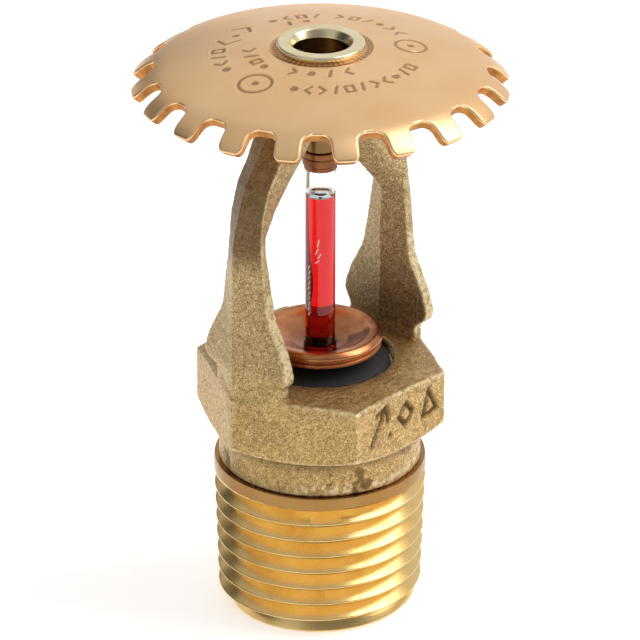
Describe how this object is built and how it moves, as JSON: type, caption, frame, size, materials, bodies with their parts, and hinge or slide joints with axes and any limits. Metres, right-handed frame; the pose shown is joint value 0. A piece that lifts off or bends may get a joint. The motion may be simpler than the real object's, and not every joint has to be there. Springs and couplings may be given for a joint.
{
  "type": "fire sprinkler head",
  "caption": "Upright fire sprinkler head: taper-threaded brass frame with barbed arms, toothed domed deflector, and a liquid-filled glass bulb held between a load screw and a pip cap.",
  "frame": {"origin": "centre of the inlet's end face, at the bottom of the pipe thread", "axes": "+Z along the waterway from the inlet to the deflector; +X and -X through the frame arms; the wrench boss has flats facing -Y and +Y"},
  "size_m": [0.037, 0.037, 0.0603],
  "materials": {
    "cast_brass": "sand-cast and blasted, matt, with a bright machined thread",
    "deflector_bronze": "satin stamped sheet",
    "screw_brass": "machined",
    "copper": "turned and polished copper alloy",
    "bulb_glass": "clear drawn glass",
    "bulb_liquid": "clear red liquid",
    "spring_steel": "dark coated spring metal",
    "ptfe_film": "dark grey PTFE film"
  },
  "bodies": {
    "frame": {"frame": "cast_brass", "deflector": "deflector_bronze", "spring_seal": "spring_steel", "seal_film_lower": "ptfe_film", "seal_film_upper": "ptfe_film"},
    "spacer": {"bulb_spacer": "copper"},
    "screw": {"load_screw": "screw_brass"},
    "valve": {"pip_cap": "copper", "bulb_glass": "bulb_glass", "bulb_liquid": "bulb_liquid"}
  },
  "joints": [
    {"name": "screw_feed", "type": "slide", "parent": "frame", "child": "spacer", "axis": [0, 0, 1], "range_m": [0, 0.002]},
    {"name": "screw_turn", "type": "hinge", "parent": "spacer", "child": "screw", "pos_m": [0, 0, 0.053], "axis": [0, 0, 1], "range_deg": [0, 900]},
    {"name": "cap_lift", "type": "slide", "parent": "frame", "child": "valve", "axis": [0, 0, 1], "range_m": [0, 0.0003], "deforming": ["spring_seal", "seal_film_lower", "seal_film_upper"]}
  ],
  "couplings": [
    {"joint": "screw_turn", "follows": "screw_feed", "rad_per_m": 7854},
    {"joint": "cap_lift", "follows": "screw_feed", "ratio": 0.149}
  ]
}
